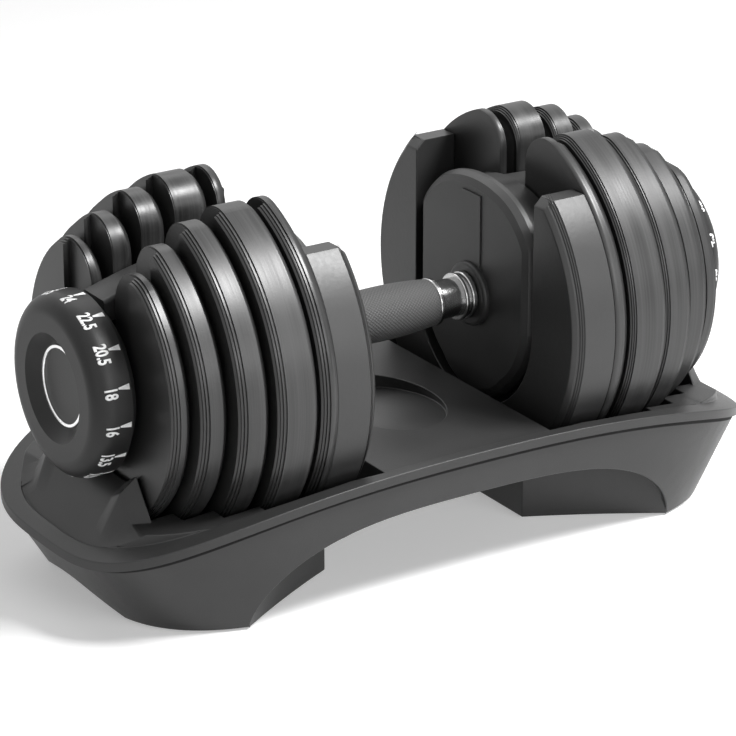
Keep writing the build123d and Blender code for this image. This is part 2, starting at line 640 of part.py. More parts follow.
with BuildPart() as handle_screws:
    for side in SIDES.values():
        rows = [
            (SCREW_START, SCREW_START + SCREW_LENGTH + SCREW_RECESS, HUB_SCREWS),
            (HUB_END - HUB_WALL, HUB_END - HUB_WALL + SCREW_LENGTH, BRIDGE_SCREWS),
            (INDEX_END - SCREW_HEAD - SCREW_LENGTH + 2, INDEX_END - SCREW_HEAD, INDEX_SCREWS),
        ]
        for start, end, places in rows:
            with BuildSketch(end_plane(side, start)):
                with Locations(*places):
                    Circle(SCREW_RADIUS)
            extrude(amount=end - start)
        with BuildSketch(end_plane(side, HUB_END - HUB_WALL)):
            with Locations(*BRIDGE_SCREWS):
                Circle(SCREW_HEAD_RADIUS)
        extrude(amount=-SCREW_HEAD)
        with BuildSketch(end_plane(side, INDEX_END - SCREW_HEAD)):
            with Locations(*INDEX_SCREWS):
                Circle(SCREW_HEAD_RADIUS)
        extrude(amount=SCREW_HEAD)
handle_screws.part.label = "handle_screws"
export_step(handle_screws.part, "parts/handle_screws.step")


# ---------------------------------------------------------------- plates
def slotted_disc(radius, half_width, horn_round):
    """A plate's outline: a circle with a slot open at the top and a rounded horn on each side."""
    horn_y = half_width + horn_round
    horn_z = sqrt((radius - horn_round) ** 2 - horn_y**2)
    rim = radius / (radius - horn_round)
    lean = radians(HORN_CROWN)
    crown = (horn_y + horn_round * cos(lean), horn_z + horn_round * sin(lean))
    with BuildSketch() as outline:
        with BuildLine():
            ThreePointArc((horn_y * rim, horn_z * rim), (0, -radius), (-horn_y * rim, horn_z * rim))
            for s in (1, -1):
                ThreePointArc(
                    (s * half_width, horn_z),
                    (s * crown[0], crown[1]),
                    (s * horn_y * rim, horn_z * rim),
                )
                Line((s * half_width, 0), (s * half_width, horn_z))
            ThreePointArc((half_width, 0), (0, -half_width), (-half_width, 0))
        make_face()
    return outline.sketch


for side_name, side in SIDES.items():
    for index in range(PLATE_COUNT):
        radius = PLATE_RADIUS[index]
        inner = PLATE_INNER[index]
        outer = PLATE_OUTER[index]
        length = outer - inner
        recess_floor = outer - RECESS_DEPTH
        ring_inside = DISC_RADIUS - DISC_RING_WIDTH
        outlines = [
            slotted_disc(radius - RIM_STEP_RISE * step, SLOT_HALF_WIDTH, HORN_ROUND[index])
            for step in range(RIM_STEPS + 1)
        ]
        steps_inside = RIM_STEPS if index > 0 else 0

        # Moulded cover: stepped rims, the disc's recess in the outer face and the hook tab
        with BuildPart() as cover:
            for step, outline in enumerate(outlines):
                step_start = inner + max(steps_inside - step, 0) * RIM_STEP_RUN
                step_end = outer - (RIM_STEPS - step) * RIM_OUTER_RUN
                with BuildSketch(end_plane(side, step_start)):
                    add(outline)
                extrude(amount=step_end - step_start)
            with BuildSketch(end_plane(side, recess_floor)):
                Circle(RECESS_HALF_WIDTH)
                Rectangle(
                    2 * RECESS_HALF_WIDTH, 1.2 * radius, align=(Align.CENTER, Align.MIN)
                )
            extrude(amount=RECESS_DEPTH, mode=Mode.SUBTRACT)
            with BuildSketch(end_plane(side, recess_floor)):
                Circle(ring_inside - TAB_GAP)
                with Locations((0, TAB_GAP - ring_inside)):
                    Rectangle(
                        2 * TAB_HALF_WIDTH, 2 * TAB_HEIGHT, mode=Mode.INTERSECT
                    )
            extrude(amount=DISC_RING_HEIGHT - 0.1)
            if index > 0:
                with BuildSketch(end_plane(side, inner)):
                    add(slotted_disc(radius - CORE_RIM, SLOT_HALF_WIDTH + COVER_WALL, CORE_HORN_ROUND[index]))
                extrude(amount=length - RECESS_DEPTH - COVER_WALL, mode=Mode.SUBTRACT)
        cover.part.label = f"{side_name}_plate_{index + 1}_cover"
        export_step(cover.part, f"parts/{cover.part.label}.step")

        if index > 0:
            # Steel core, a little clear of its pocket all round
            with BuildPart() as core:
                with BuildSketch(end_plane(side, inner + 0.2)):
                    add(
                        slotted_disc(
                            radius - CORE_RIM - CORE_FIT,
                            SLOT_HALF_WIDTH + COVER_WALL + CORE_FIT,
                            CORE_HORN_ROUND[index] - CORE_FIT,
                        )
                    )
                extrude(amount=length - RECESS_DEPTH - COVER_WALL - 0.2 - CORE_FIT)
            core.part.label = f"{side_name}_plate_{index + 1}_core"
            export_step(core.part, f"parts/{core.part.label}.step")

    # Belly of the innermost plate: flat on top, stepped at its inner rim, cut out round the hub
    with BuildPart() as belly:
        with BuildSketch(end_plane(side, BELLY_FACE)):
            Circle(PLATE_RADIUS[0] - RIM_STEPS * RIM_STEP_RISE - BELLY_BEVEL)
        extrude(amount=BELLY_BEVEL, taper=-45)
        for step in range(RIM_STEPS + 1):
            step_start = BELLY_FACE + BELLY_BEVEL + (RIM_STEPS - step) * RIM_STEP_RUN
            with BuildSketch(end_plane(side, step_start)):
                Circle(PLATE_RADIUS[0] - RIM_STEP_RISE * step)
            extrude(amount=BELLY_FACE + BELLY_LENGTH - step_start)
        with BuildSketch(end_plane(side, BELLY_FACE)):
            with Locations((0, BELLY_TOP)):
                Rectangle(
                    3 * PLATE_RADIUS[0], 2 * PLATE_RADIUS[0], align=(Align.CENTER, Align.MIN)
                )
            with Locations((0, BELLY_CUT_CENTRE)):
                Circle(BELLY_CUT_HALF_WIDTH)
                Rectangle(
                    2 * BELLY_CUT_HALF_WIDTH,
                    2 * PLATE_RADIUS[0],
                    align=(Align.CENTER, Align.MIN),
                )
        extrude(amount=BELLY_LENGTH, mode=Mode.SUBTRACT)
        with BuildSketch(Plane.XZ.offset(-2 * PLATE_RADIUS[0])):
            Polygon(
                (side * (BELLY_FACE - 1), AXIS + BELLY_TOP - BELLY_EDGE - 1),
                (side * (BELLY_FACE + BELLY_EDGE + 1), AXIS + BELLY_TOP + 1),
                (side * (BELLY_FACE - 1), AXIS + BELLY_TOP + 1),
                align=None,
            )
        extrude(amount=4 * PLATE_RADIUS[0], mode=Mode.SUBTRACT)
    belly.part.label = f"{side_name}_plate_1_belly"
    export_step(belly.part, f"parts/{belly.part.label}.step")


# ---------------------------------------------------------------- tray
def tray_outline(length, width):
    """Points of the tray's plan: a squarish oval, a little narrower at its waist."""
    points = []
    count = 36
    for step in range(count):
        angle = 2 * pi * step / count
        across, along = abs(sin(angle)), abs(cos(angle))
        reach = (across**TRAY_SQUARENESS + along**TRAY_SQUARENESS) ** (-1 / TRAY_SQUARENESS)
        x = reach * cos(angle)
        waist = 1 - TRAY_WAIST * (1 - x * x) ** 2
        points.append((length * x, width * waist * reach * sin(angle)))
    return points


def tapered_block(low, low_size, high, high_size):
    """A solid between two plans of the tray at two heights."""
    with BuildPart() as block:
        for height, (length, width) in ((low, low_size), (high, high_size)):
            with BuildSketch(Plane.XY.offset(height)):
                with BuildLine():
                    Spline(*tray_outline(length, width), periodic=True)
                make_face()
        loft(ruled=True)
    return block.part


def wall_size(height, inset):
    """Half length and half width of the outer wall at a height."""
    up = height - (AXIS - SEAM_END)
    return (
        TRAY_LENGTH + up * TRAY_END_TAPER - inset * sqrt(1 + TRAY_END_TAPER**2),
        TRAY_WIDTH + (height - DECK) * TRAY_SIDE_TAPER - inset,
    )


def outer_block(inset):
    top = DECK + LIP_HEIGHT
    return tapered_block(0, wall_size(0, inset), top, wall_size(top, inset))


def dish_block(outset):
    """The space inside the lip, leaning inwards on its way down."""
    length = TRAY_LENGTH + LIP_OVERHANG - LIP_WIDTH + outset * sqrt(1 + LIP_LEAN**2)
    width = TRAY_WIDTH + LIP_OVERHANG - LIP_WIDTH + outset * sqrt(1 + LIP_LEAN**2)
    end_lip = AXIS - SEAM_END + LIP_HEIGHT
    low = AXIS - SEAM_END - LIP_HEIGHT
    high = DECK + 2 * LIP_HEIGHT
    return tapered_block(
        low,
        (length - LIP_LEAN * (end_lip - low), width - LIP_LEAN * (DECK - low)),
        high,
        (length + LIP_LEAN * (high - end_lip), width + LIP_LEAN * (high - DECK)),
    )


def seam_points(lift):
    """The seam under the lip seen from the side: nearly level in the middle, dropping at the ends."""
    reach = TRAY_LENGTH + 4 * LIP_OVERHANG
    steps = 12
    points = []
    for step in range(-steps, steps + 1):
        x = reach * step / steps
        points.append((x, AXIS - SEAM_MIDDLE + lift - SEAM_DROP * (abs(x) / TRAY_LENGTH) ** 3))
    return points


def side_prism(lower, upper):
    """A solid right across the tray between two profiles, each a list of (x, height) points."""
    with BuildPart() as prism:
        with BuildSketch(Plane.XZ.offset(-2 * TRAY_WIDTH)):
            with BuildLine():
                for profile in (lower, upper):
                    if len(profile) > 6:
                        Spline(*profile)
                    else:
                        Polyline(*profile)
                Line(lower[0], upper[0])
                Line(lower[-1], upper[-1])
            make_face()
        extrude(amount=4 * TRAY_WIDTH)
    return prism.part


FAR = TRAY_LENGTH + 4 * LIP_OVERHANG


def floor_profile():
    """The dish's floor seen from the side: level, then sloping gently and falling away at both ends."""
    half = [
        (FLOOR_LEVEL_HALF_LENGTH, DECK),
        (FLOOR_BREAK, DECK - FLOOR_SLOPE * (FLOOR_BREAK - FLOOR_LEVEL_HALF_LENGTH)),
    ]
    half.append((FAR, half[1][1] - FLOOR_END_SLOPE * (FAR - FLOOR_BREAK)))
    return [(-x, z) for x, z in reversed(half)] + half


def underside_profile(drop):
    """The underside of the moulding: level in the middle and sloping down to both ends."""
    end_height = DECK - UNDERSIDE_SLOPE * (FAR - DECK_HALF_LENGTH) - drop
    return [
        (-FAR, end_height),
        (-DECK_HALF_LENGTH, DECK - drop),
        (DECK_HALF_LENGTH, DECK - drop),
        (FAR, end_height),
    ]


def trough_block(side, outset):
    """The space that one end's plates stand in, grown by outset."""
    with BuildPart() as trough:
        start = DECK_HALF_LENGTH
        for index in range(PLATE_COUNT):
            if index + 1 < PLATE_COUNT:
                end = (PLATE_OUTER[index] + PLATE_INNER[index + 1]) / 2
            else:
                end = PLATE_OUTER[index] + INDEX_GAP
            with BuildSketch(end_plane(side, start)):
                Circle(PLATE_RADIUS[index] + TROUGH_GAP + outset)
            extrude(amount=end + outset - start)
            start = end
        bottom = AXIS - PLATE_RADIUS[0] - TROUGH_GAP - outset
        with BuildSketch(Plane.XZ.offset(-2 * TRAY_WIDTH)):
            Polygon(
                (side * (DECK_HALF_LENGTH - outset), DECK + 60),
                (side * (DECK_HALF_LENGTH - outset), DECK),
                (side * (BELLY_FACE - TROUGH_RAMP - outset), bottom),
                (side * (DIAL_BACK + outset), bottom),
                (side * (DIAL_BACK + outset), DECK + 60),
                align=None,
            )
        extrude(amount=4 * TRAY_WIDTH, mode=Mode.INTERSECT)
    return trough.part


BASE = [(-FAR, -1), (FAR, -1)]
ABOVE = [(-FAR, 2 * AXIS), (FAR, 2 * AXIS)]
below_seam = side_prism(BASE, seam_points(0))
lip_band = side_prism(seam_points(0), seam_points(LIP_HEIGHT))
below_lip = side_prism(BASE, seam_points(LIP_HEIGHT))
above_underside = side_prism(underside_profile(WALL), ABOVE)
above_floor = side_prism(floor_profile(), ABOVE)
below_floor = side_prism(BASE, floor_profile())
below_sheet = side_prism(BASE, underside_profile(WALL + 0.1))
dish = dish_block(0)
dish_outside = dish_block(WALL)
dish_clearance = dish_block(WALL + 0.2)
lip_plan = tapered_block(
    0,
    (TRAY_LENGTH + LIP_OVERHANG, TRAY_WIDTH + LIP_OVERHANG),
    AXIS,
    (TRAY_LENGTH + LIP_OVERHANG, TRAY_WIDTH + LIP_OVERHANG),
)
floor_plan = tapered_block(
    0,
    (TRAY_LENGTH + LIP_OVERHANG - LIP_WIDTH - 1, TRAY_WIDTH + LIP_OVERHANG - LIP_WIDTH - 1),
    AXIS,
    (TRAY_LENGTH + LIP_OVERHANG - LIP_WIDTH - 1, TRAY_WIDTH + LIP_OVERHANG - LIP_WIDTH - 1),
)
troughs = [trough_block(side, 0) for side in SIDES.values()]
trough_outsides = [trough_block(side, WALL) for side in SIDES.values()]
trough_clearances = [trough_block(side, WALL + 0.2) for side in SIDES.values()]

# Partition behind each dial: two shoulders, and a saddle that pushes the lock slider up. Each row
# holds the distance outwards, then points across the tray and from the axis.
PARTITION_START = PLATE_OUTER[-1] + INDEX_GAP
SADDLE = -INDEX_RADIUS - LOCK_TRAVEL - 1 - SEAT_GAP
SHOULDERS = [
    (0, [(-60, -66), (-56, -60.5), (-42, -41), (-31, SADDLE)]),
    (1, [(-60, -66), (-56, -60.5), (-42, -41), (-31, SADDLE)]),
    (9, [(-57, -68), (-52, -63.5), (-39, -50), (-29, -55)]),
    (21, [(-50, -80), (-46, -76), (-36, -75), (-27, -75.5)]),
]
partitions = []
for side in SIDES.values():
    with BuildPart() as partition:
        for level in range(len(SHOULDERS) - 1):
            for out, points in SHOULDERS[level:level + 2]:
                mirrored = [(-y, z) for y, z in reversed(points)]
                with BuildSketch(end_plane(side, PARTITION_START + out)):
                    Polygon(*points, *mirrored, align=None)
            loft(ruled=True)
    partitions.append(partition.part)


# Scoop for the fingers in the middle deck: an oval whose floor sinks towards the back
def oval_prism(outset, top):
    with BuildPart() as oval:
        with BuildSketch(Plane.XY.offset(DECK - 4 * SCOOP_DEPTH)):
            with Locations((0, SCOOP_CENTRE_Y)):
                Ellipse(SCOOP_HALF_LENGTH + outset, SCOOP_HALF_WIDTH + outset)
        extrude(amount=top - DECK + 4 * SCOOP_DEPTH)
        front = SCOOP_CENTRE_Y - SCOOP_HALF_WIDTH
        back = SCOOP_CENTRE_Y + SCOOP_HALF_WIDTH
        with BuildSketch(Plane.YZ.offset(-TRAY_LENGTH)):
            Polygon(
                (2 * front, DECK - SCOOP_LIP - outset),
                (front, DECK - SCOOP_LIP - outset),
                (back, DECK - SCOOP_DEPTH - outset),
                (2 * back, DECK - SCOOP_DEPTH - outset),
                (2 * back, 2 * AXIS),
                (2 * front, 2 * AXIS),
                align=None,
            )
        extrude(amount=2 * TRAY_LENGTH, mode=Mode.INTERSECT)
    return oval.part


scoop = oval_prism(0, AXIS)
scoop_wall = oval_prism(WALL, DECK - WALL / 2)
tray_posts = [(sx * BOSS_X, sy * BOSS_Y) for sx in (-1, 1) for sy in (-1, 1)]
post_joint = underside_profile(WALL)[0][1] + UNDERSIDE_SLOPE * (FAR - BOSS_X) - TOP_BOSS_LENGTH

with BuildPart() as trough_shell:
    for trough_outside in trough_outsides:
        add(trough_outside)
    add(below_floor, mode=Mode.INTERSECT)

with BuildPart() as lip_blank:
    add(lip_plan)
    add(lip_band, mode=Mode.INTERSECT)

with BuildPart() as dish_void:
    add(dish)
    add(above_floor, mode=Mode.INTERSECT)

with BuildPart() as floor_block:
    add(dish_outside)
    add(floor_plan, mode=Mode.INTERSECT)
    add(above_underside, mode=Mode.INTERSECT)
    add(below_floor, mode=Mode.INTERSECT)

# Upper moulding: lip, leaning inner wall, floor, troughs, partitions, scoop and screw bosses
with BuildPart() as tray_top:
    add(dish_outside)
    add(above_underside, mode=Mode.INTERSECT)
    add(lip_blank.part)
    add(below_lip, mode=Mode.INTERSECT)
    add(floor_block.part)
    add(trough_shell.part)
    add(scoop_wall)
    with BuildSketch(Plane.XY.offset(post_joint)):
        with Locations(*tray_posts):
            Circle(BOSS_RADIUS)
    extrude(amount=TOP_BOSS_LENGTH + 1)
    add(dish_void.part, mode=Mode.SUBTRACT)
    for block in partitions:
        add(block)
    for trough in troughs:
        add(trough, mode=Mode.SUBTRACT)
    add(scoop, mode=Mode.SUBTRACT)
    # Narrow seats that the plates stand on
    for side in SIDES.values():
        for index in range(PLATE_COUNT):
            seat_start = PLATE_INNER[index] + RIM_STEPS * RIM_STEP_RUN
            if index == 0:
                seat_start = BELLY_FACE + BELLY_BEVEL + (RIM_STEPS + 1) * RIM_STEP_RUN
            seat_end = PLATE_OUTER[index] - RIM_STEPS * RIM_OUTER_RUN
            seat_top = AXIS - PLATE_RADIUS[index] - SEAT_GAP
            with BuildSketch(Plane.XY.offset(seat_top)):
                with Locations((side * (seat_start + seat_end) / 2, 0)):
                    Rectangle(seat_end - seat_start, 2 * SEAT_HALF_WIDTH)
            extrude(amount=-TROUGH_GAP - SEAT_GAP)
    with BuildSketch(Plane.XY.offset(post_joint)):
        with Locations(*tray_posts):
            Circle(SCREW_RADIUS + SCREW_FIT)
    extrude(amount=TOP_BOSS_LENGTH, mode=Mode.SUBTRACT)
tray_top.part.label = "tray_top"
export_step(tray_top.part, "parts/tray_top.step")


def arch_points():
    """The side arch: nearly level in the middle and steep beside the feet."""
    shares = [0, 0.2, 0.4, 0.55, 0.7, 0.8, 0.88, 0.94, 0.98, 1]
    shares = [-share for share in reversed(shares[1:])] + shares
    return [
        (share * ARCH_HALF_LENGTH, ARCH_HEIGHT * (1 - abs(share) ** ARCH_FLATNESS) ** ARCH_STEEPNESS)
        for share in shares
    ]


skin_outer = outer_block(0)
skin_inner = outer_block(WALL)
with BuildPart() as side_arch:
    with BuildSketch(Plane.XZ.offset(-2 * TRAY_WIDTH)):
        with BuildLine():
            Spline(*arch_points())
            Polyline(
                (ARCH_HALF_LENGTH, 0),
                (ARCH_HALF_LENGTH, -FOOT_PAD),
                (-ARCH_HALF_LENGTH, -FOOT_PAD),
                (-ARCH_HALF_LENGTH, 0),
            )
        make_face()
    extrude(amount=4 * TRAY_WIDTH)

with BuildPart() as end_arches:
    with BuildSketch(Plane.YZ.offset(-FAR)):
        with BuildLine():
            ThreePointArc((-END_ARCH_HALF_WIDTH, 0), (0, END_ARCH_HEIGHT), (END_ARCH_HALF_WIDTH, 0))
            Line((END_ARCH_HALF_WIDTH, 0), (-END_ARCH_HALF_WIDTH, 0))
        make_face()
    extrude(amount=2 * FAR)

# Foot walls under each trough, flaring out to the skin on both sides
flare_end = (ARCH_HALF_LENGTH + FOOT_FLARE_OUT, FOOT_FLARE_SHARE * wall_size(0, 0)[1])
with BuildPart() as foot_walls:
    for side in SIDES.values():
        with BuildSketch(Plane.XY.offset(FOOT_PAD)):
            with BuildLine() as path:
                ThreePointArc(
                    (side * flare_end[0], -flare_end[1]),
                    (side * FOOT_FLARE_MIDDLE[0], -FOOT_FLARE_MIDDLE[1]),
                    (side * FOOT_FACE, -FOOT_HALF_WIDTH),
                )
                Line((side * FOOT_FACE, -FOOT_HALF_WIDTH), (side * FOOT_FACE, FOOT_HALF_WIDTH))
                ThreePointArc(
                    (side * FOOT_FACE, FOOT_HALF_WIDTH),
                    (side * FOOT_FLARE_MIDDLE[0], FOOT_FLARE_MIDDLE[1]),
                    (side * flare_end[0], flare_end[1]),
                )
            trace(line_width=WALL)
        extrude(amount=AXIS)
    add(below_sheet, mode=Mode.INTERSECT)
    add(skin_outer, mode=Mode.INTERSECT)

with BuildPart() as foot_posts:
    with BuildSketch(Plane.XY.offset(FOOT_PAD)):
        with Locations(*tray_posts):
            Circle(BOSS_RADIUS)
    extrude(amount=post_joint - FOOT_PAD)
    for post_x, post_y in tray_posts:
        out = 1 if post_y > 0 else -1
        with BuildSketch(Plane.XY.offset(FOOT_PAD)):
            with Locations((post_x, post_y + out * TRAY_WIDTH / 4)):
                Rectangle(WALL, TRAY_WIDTH / 2)
        extrude(amount=post_joint - FOOT_PAD)
    add(skin_outer, mode=Mode.INTERSECT)

# Lower skirt: the leaning skin with its arches, the foot walls and the screw posts
with BuildPart() as tray_skirt:
    add(skin_outer)
    add(skin_inner, mode=Mode.SUBTRACT)
    add(side_arch.part, mode=Mode.SUBTRACT)
    add(end_arches.part, mode=Mode.SUBTRACT)
    add(foot_walls.part)
    add(foot_posts.part)
    add(below_seam, mode=Mode.INTERSECT)
    add(dish_clearance, mode=Mode.SUBTRACT)
    for trough_clearance in trough_clearances:
        add(trough_clearance, mode=Mode.SUBTRACT)
    with BuildSketch(Plane.XY):
        Rectangle(3 * TRAY_LENGTH, 3 * TRAY_WIDTH)
    extrude(amount=FOOT_PAD, mode=Mode.SUBTRACT)
    with BuildSketch(Plane.XY.offset(FOOT_PAD)):
        with Locations(*tray_posts):
            Circle(SCREW_HEAD_RADIUS + GUIDE_FIT)
    extrude(amount=post_joint - FOOT_PAD - SCREW_LENGTH, mode=Mode.SUBTRACT)
    with BuildSketch(Plane.XY.offset(FOOT_PAD)):
        with Locations(*tray_posts):
            Circle(SCREW_RADIUS + SCREW_FIT)
    extrude(amount=post_joint, mode=Mode.SUBTRACT)
tray_skirt.part.label = "tray_skirt"
export_step(tray_skirt.part, "parts/tray_skirt.step")

with BuildPart() as tray_screws:
    head = post_joint - SCREW_LENGTH
    with BuildSketch(Plane.XY.offset(head - SCREW_HEAD)):
        with Locations(*tray_posts):
            Circle(SCREW_HEAD_RADIUS)
    extrude(amount=SCREW_HEAD)
    with BuildSketch(Plane.XY.offset(head)):
        with Locations(*tray_posts):
            Circle(SCREW_RADIUS)
    extrude(amount=SCREW_LENGTH + TOP_BOSS_LENGTH - 1)
tray_screws.part.label = "tray_screws"
export_step(tray_screws.part, "parts/tray_screws.step")

with BuildPart() as foot_pads:
    with BuildSketch(Plane.XY):
        with Locations(*tray_posts):
            Circle(FOOT_PAD_RADIUS)
    extrude(amount=FOOT_PAD)
foot_pads.part.label = "foot_pads"
export_step(foot_pads.part, "parts/foot_pads.step")
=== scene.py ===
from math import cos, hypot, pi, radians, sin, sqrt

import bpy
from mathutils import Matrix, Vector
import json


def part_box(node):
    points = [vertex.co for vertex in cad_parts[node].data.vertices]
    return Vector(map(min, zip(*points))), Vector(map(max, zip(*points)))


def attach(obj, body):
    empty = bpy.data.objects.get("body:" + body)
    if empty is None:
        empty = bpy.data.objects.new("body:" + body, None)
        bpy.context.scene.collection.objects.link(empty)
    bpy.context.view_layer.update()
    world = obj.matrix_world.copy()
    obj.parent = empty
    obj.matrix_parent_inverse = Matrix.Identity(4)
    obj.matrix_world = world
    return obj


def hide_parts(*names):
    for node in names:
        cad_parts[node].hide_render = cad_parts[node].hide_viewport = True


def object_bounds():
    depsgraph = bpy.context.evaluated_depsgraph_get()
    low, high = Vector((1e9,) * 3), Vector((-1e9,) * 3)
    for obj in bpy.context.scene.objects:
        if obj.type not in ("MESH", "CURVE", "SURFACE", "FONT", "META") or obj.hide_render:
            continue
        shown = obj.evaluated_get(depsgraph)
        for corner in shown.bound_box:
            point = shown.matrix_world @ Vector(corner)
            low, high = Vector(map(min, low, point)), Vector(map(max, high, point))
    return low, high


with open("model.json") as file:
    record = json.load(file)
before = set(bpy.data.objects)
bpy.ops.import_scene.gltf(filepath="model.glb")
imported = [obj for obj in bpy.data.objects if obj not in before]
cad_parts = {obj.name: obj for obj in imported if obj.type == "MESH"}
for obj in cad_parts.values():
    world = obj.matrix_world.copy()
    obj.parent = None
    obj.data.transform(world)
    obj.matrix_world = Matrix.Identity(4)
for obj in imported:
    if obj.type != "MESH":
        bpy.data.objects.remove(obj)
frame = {"nodes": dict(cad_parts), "record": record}

# %% [markdown]
# # An adjustable dumbbell, docked in its tray
#
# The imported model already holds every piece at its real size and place: a handle with a selector
# dial at each end, ten loose plates and a moulded tray. This lesson dresses it. It gives each
# surface the finish of the real thing, adds the print and trim that solids don't carry, and lights
# and frames the result. All lengths are in metres, +Z is up and the handle lies along X.

cad_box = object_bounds()
nodes = frame["nodes"]
mm = 0.001
print("bare model:", [[round(v, 4) for v in corner] for corner in cad_box])

# %% [markdown]
# ## Reading sizes from the model
#
# Nothing here repeats a size that the model already knows. The handle's axis runs through the
# middle of the tie rod, and the dials and plates tell their own radii and faces.

# %% The handle's axis and the ends' landmarks
SIDES = ("left", "right")


def middle(node):
    """The middle of a node's box."""
    low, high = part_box(node)
    return [(a + b) / 2 for a, b in zip(low, high)]


def span_x(node):
    """A node's nearest and furthest distance from the middle of the handle, along X."""
    low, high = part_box(node)
    ends = sorted((abs(low[0]), abs(high[0])))
    return ends[0], ends[1]


AXIS = middle("tie_rod")[2]
dial_low, dial_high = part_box("right_dial")
DIAL_RADIUS = (dial_high[2] - dial_low[2]) / 2
DIAL_BACK, DIAL_FACE = span_x("right_dial")
print("axis at", round(AXIS, 4), "dial radius", round(DIAL_RADIUS, 4))

# %% [markdown]
# ## Camera
#
# A long lens, a little above the handle and well to the left of the front, shows the left dial's
# numbers and the inner face of the right-hand stack at once.

# %% Camera
TARGET = Vector((-10.6 * mm, -6.3 * mm, AXIS - 27.7 * mm))
VIEW_DISTANCE = 2.034
VIEW_ANGLE = radians(-32.71)
VIEW_HEIGHT = radians(21.67)
CAMERA_LENS = 180.4         # millimetres, as a camera's lens is named
FILM_WIDTH = 36
back = Vector((
    sin(VIEW_ANGLE) * cos(VIEW_HEIGHT),
    -cos(VIEW_ANGLE) * cos(VIEW_HEIGHT),
    sin(VIEW_HEIGHT),
))
bpy.ops.object.camera_add(location=TARGET + back * VIEW_DISTANCE)
camera = bpy.context.object
camera.name = "view"
camera.rotation_euler = back.to_track_quat("Z", "Y").to_euler()
camera.data.lens = CAMERA_LENS
camera.data.sensor_width = FILM_WIDTH
bpy.context.scene.camera = camera
print("camera", [round(v, 3) for v in camera.location])

# %% [markdown]
# ## Shader maths as plain expressions
#
# A material is a small sum over the surface: a base tone plus speckle, minus wear. A wrapped socket
# lets that sum be written as it is said. Each operator adds the Math node that does it.

# %% A wrapped socket and a material builder
class Signal:
    """A number that varies over a surface."""

    def __init__(self, tree, socket):
        self.tree = tree
        self.socket = socket

    def maths(self, operation, *others):
        """Adds a Math node that takes this signal first."""
        node = self.tree.nodes.new("ShaderNodeMath")
        node.operation = operation
        for port, value in zip(node.inputs, (self, *others)):
            if isinstance(value, Signal):
                self.tree.links.new(value.socket, port)
            else:
                port.default_value = value
        return Signal(self.tree, node.outputs[0])

    def __add__(self, other):
        return self.maths("ADD", other)

    def __sub__(self, other):
        return self.maths("SUBTRACT", other)

    def __mul__(self, other):
        return self.maths("MULTIPLY", other)

    def __truediv__(self, other):
        return self.maths("DIVIDE", other)

    def __radd__(self, other):
        return self + other

    def __rmul__(self, other):
        return self * other

    def __rsub__(self, other):
        return (self * -1) + other

    def clipped(self, low=0.0):
        """The signal, kept between low and 1."""
        return self.maths("MAXIMUM", low).maths("MINIMUM", 1.0)

    def band(self, low, high):
        """0 below low, 1 above high and a smooth rise between them."""
        share = ((self - low) / (high - low)).clipped()
        return share * share * (3 - 2 * share)

    def spread(self):
        """A noise, which keeps near 0.5, spread over the whole of 0 to 1."""
        return self.band(0.3, 0.7)


class Finish:
    """One procedural material, built node by node, and kept under its finish's name."""

    made = {}

    def __init__(self, name, **fixed):
        self.material = bpy.data.materials.new(f"{name}_finish")
        self.made[name] = self.material
        self.material.use_nodes = True
        self.tree = self.material.node_tree
        self.surface = self.tree.nodes["Principled BSDF"]
        for socket, value in fixed.items():
            self.surface.inputs[socket.replace("_", " ")].default_value = value

    def node(self, kind, settings=None, **inputs):
        """Adds a node: its settings first, then the values or links of its sockets."""
        node = self.tree.nodes.new(f"ShaderNode{kind}")
        for key, value in (settings or {}).items():
            setattr(node, key, value)
        for key, value in inputs.items():
            port = node.inputs[key.replace("_", " ")]
            if isinstance(value, Signal):
                self.tree.links.new(value.socket, port)
            elif hasattr(value, "is_output"):
                self.tree.links.new(value, port)
            else:
                port.default_value = value
        return node

    def place(self):
        """Object coordinates."""
        return self.node("TexCoord").outputs["Object"]

    def split(self, vector):
        """The X, Y and Z of a vector, each as a signal."""
        parts = self.node("SeparateXYZ", Vector=vector)
        return [Signal(self.tree, port) for port in parts.outputs]

    def stretched(self, scale, centre=(0, 0, 0)):
        """Object coordinates, centred and stretched."""
        moved = self.node("Mapping", {"vector_type": "POINT"}, Vector=self.place())
        moved.inputs["Scale"].default_value = scale
        moved.inputs["Location"].default_value = [-c * s for c, s in zip(centre, scale)]
        return moved.outputs[0]

    def noise(self, scale, detail, vector=None):
        """A noise over the surface, or over another vector."""
        place = vector or self.place()
        node = self.node("TexNoise", Vector=place, Scale=scale, Detail=detail)
        return Signal(self.tree, node.outputs[0])

    def tones(self, dark, light, share):
        """Two colours mixed by a signal."""
        mix = self.node("Mix", {"data_type": "RGBA"})
        mix.inputs[6].default_value = (*dark, 1)
        mix.inputs[7].default_value = (*light, 1)
        self.tree.links.new(share.socket, mix.inputs[0])
        return mix.outputs[2]

    def feed(self, socket, value):
        """Links a signal or a colour to one socket of the surface."""
        port = self.surface.inputs[socket]
        self.tree.links.new(value.socket if isinstance(value, Signal) else value, port)

    def bump(self, height, distance):
        """Raises the surface by height times distance."""
        bump = self.node("Bump", Height=height, Distance=distance, Strength=1.0)
        self.feed("Normal", bump.outputs[0])


def grey(tone):
    """A neutral colour."""
    return (tone, tone, tone)


def varied(level, *swings):
    """A level that each noise swings up and down by its own amount."""
    for noise, amount in swings:
        level = (noise - 0.5) * amount + level
    return level


print("shader tools ready")

# %% [markdown]
# ## Moulded plastics
#
# Every moulding here is a near-black nylon with a fine spark-eroded grain. The grain breaks up
# reflections more than it changes the colour, so it feeds the bump and the roughness, and a broad,
# faint mottling keeps large faces from looking printed.

# %% Moulded plastics
CLOUD_SCALE = 28
GRAIN_SCALE = 1500
GRAIN = 0.06 * mm
MOTTLE = 0.12


